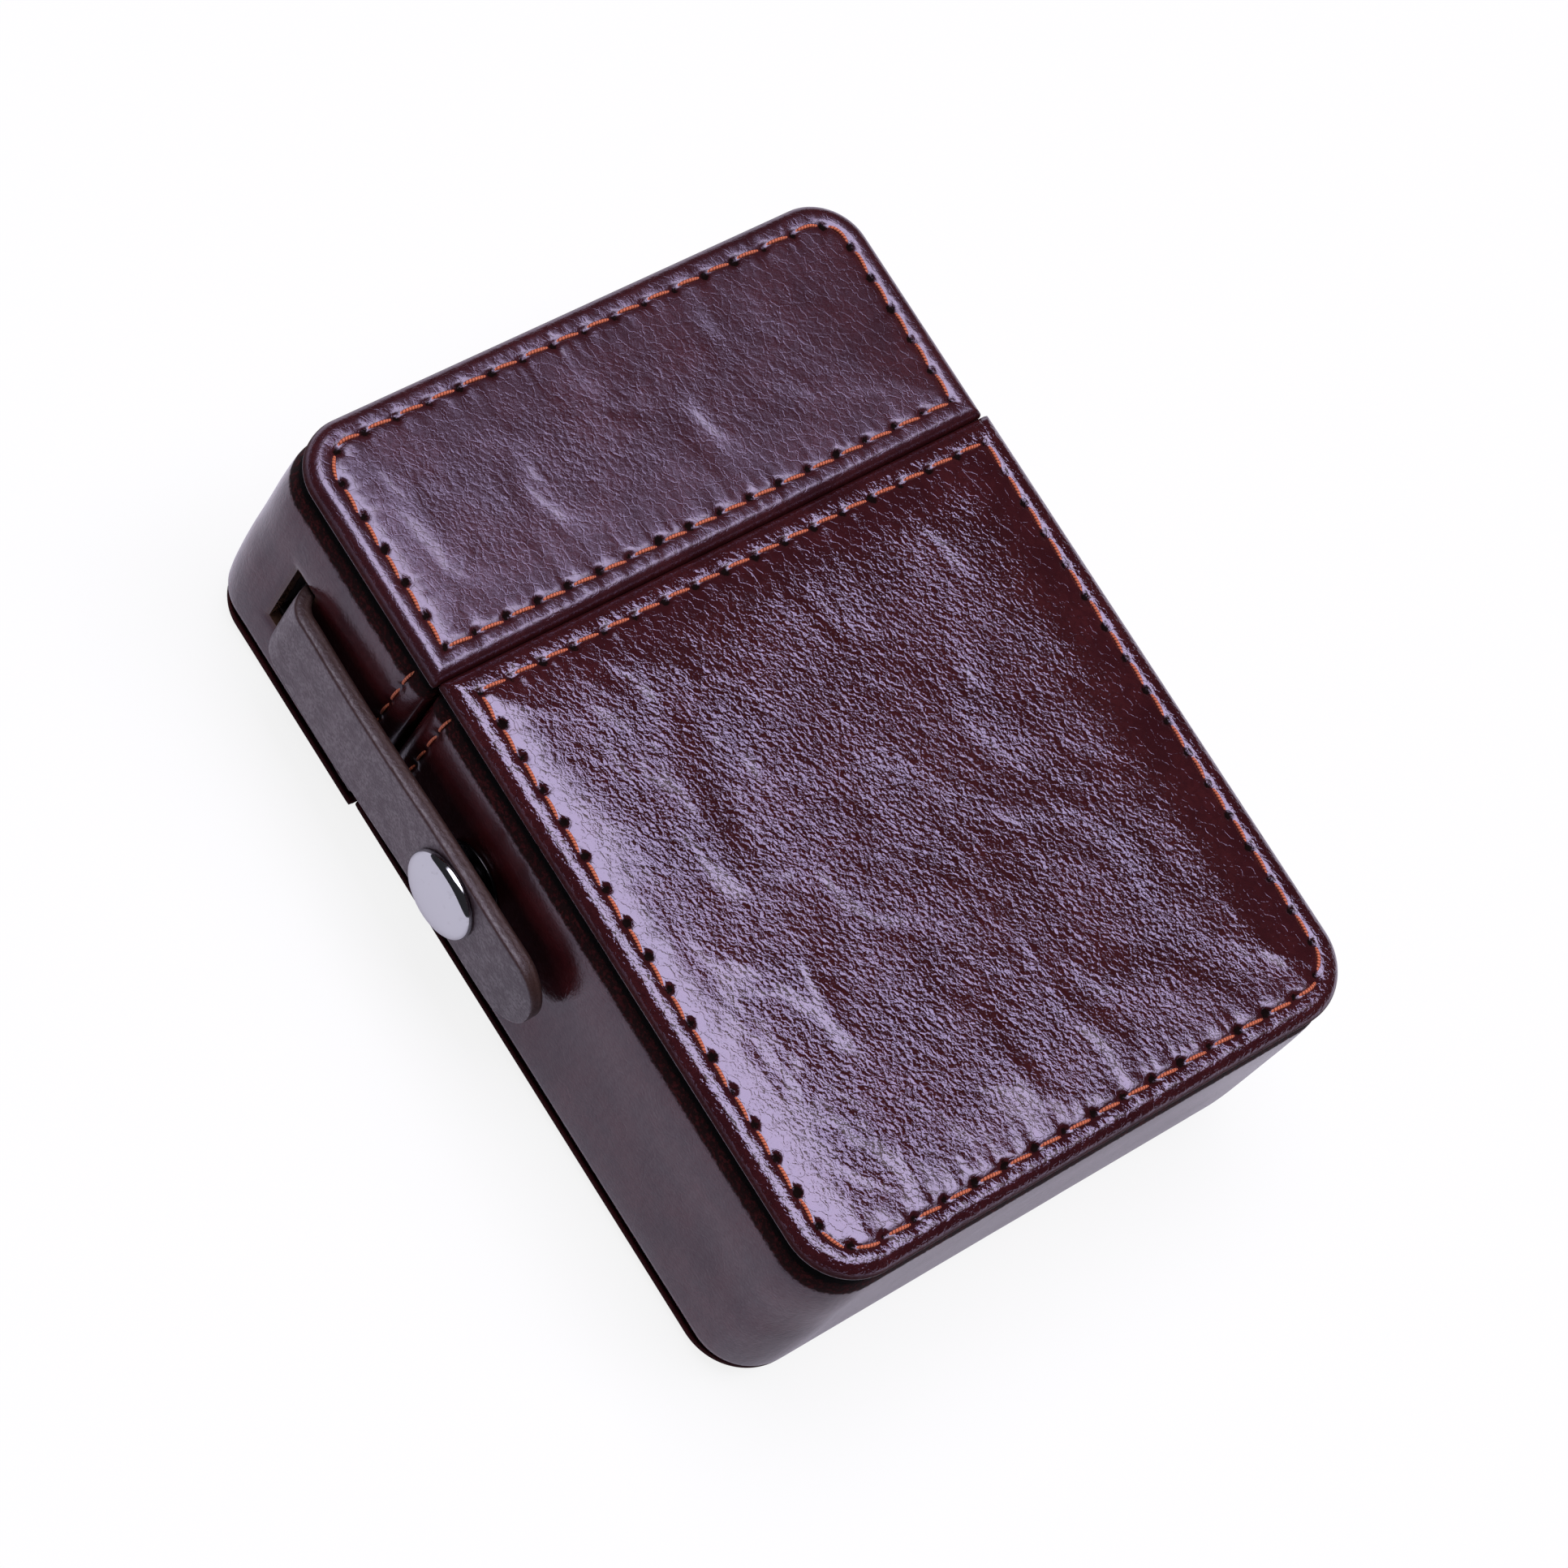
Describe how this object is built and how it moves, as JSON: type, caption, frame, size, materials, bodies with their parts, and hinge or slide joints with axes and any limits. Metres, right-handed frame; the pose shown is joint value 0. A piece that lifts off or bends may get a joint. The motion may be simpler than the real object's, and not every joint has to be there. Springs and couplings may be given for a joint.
{
  "type": "leather cigarette case",
  "caption": "Padded leather cigarette case in two halves: the lid swings on a leather hinge down one narrow side, and a strap with a press stud holds it shut on the other.",
  "frame": {"origin": "centre of the back face, on which the closed case lies", "axes": "+X from the strap side to the hinge side, +Y from the foot to the lid's end, +Z from the back face to the front face"},
  "size_m": [0.0741, 0.098, 0.033],
  "materials": {
    "case_leather": "glossy dark oxblood",
    "strap_leather": "smooth grey brown",
    "foam_sheet": "soft sheet",
    "grey_board": "raw board",
    "sewing_thread": "waxed orange thread",
    "lining_fabric": "dark brushed cloth",
    "snap_steel": "nickel plated",
    "cap_chrome": "polished"
  },
  "bodies": {
    "case_body": {"body_front_leather": "case_leather", "body_back_leather": "case_leather", "body_side_band": "case_leather", "body_front_foam": "foam_sheet", "body_back_foam": "foam_sheet", "body_front_board": "grey_board", "body_back_board": "grey_board", "body_wall": "grey_board", "body_front_thread": "sewing_thread", "body_back_thread": "sewing_thread", "body_band_thread": "sewing_thread", "body_lining": "lining_fabric", "hinge_leather": "case_leather", "hinge_body_thread": "sewing_thread", "snap_stud": "snap_steel", "snap_rivet": "snap_steel"},
    "lid": {"lid_front_leather": "case_leather", "lid_back_leather": "case_leather", "lid_side_band": "case_leather", "lid_front_foam": "foam_sheet", "lid_back_foam": "foam_sheet", "lid_front_board": "grey_board", "lid_back_board": "grey_board", "lid_wall": "grey_board", "lid_front_thread": "sewing_thread", "lid_back_thread": "sewing_thread", "lid_band_thread": "sewing_thread", "lid_lining": "lining_fabric", "hinge_lid_thread": "sewing_thread", "strap_tail": "strap_leather"},
    "strap": {"strap_face": "strap_leather", "strap_backing": "strap_leather", "snap_socket": "snap_steel", "snap_cap": "cap_chrome"}
  },
  "joints": [
    {"name": "lid_hinge", "type": "hinge", "parent": "case_body", "child": "lid", "pos_m": [0.0348, 0.0208, 0.0165], "axis": [0, 0, -1], "range_deg": [0, 175], "deforming": ["hinge_leather"]},
    {"name": "strap_hinge", "type": "hinge", "parent": "lid", "child": "strap", "pos_m": [-0.0367, 0.0378, 0.0152], "axis": [0, 0, -1], "range_deg": [0, 120]}
  ]
}
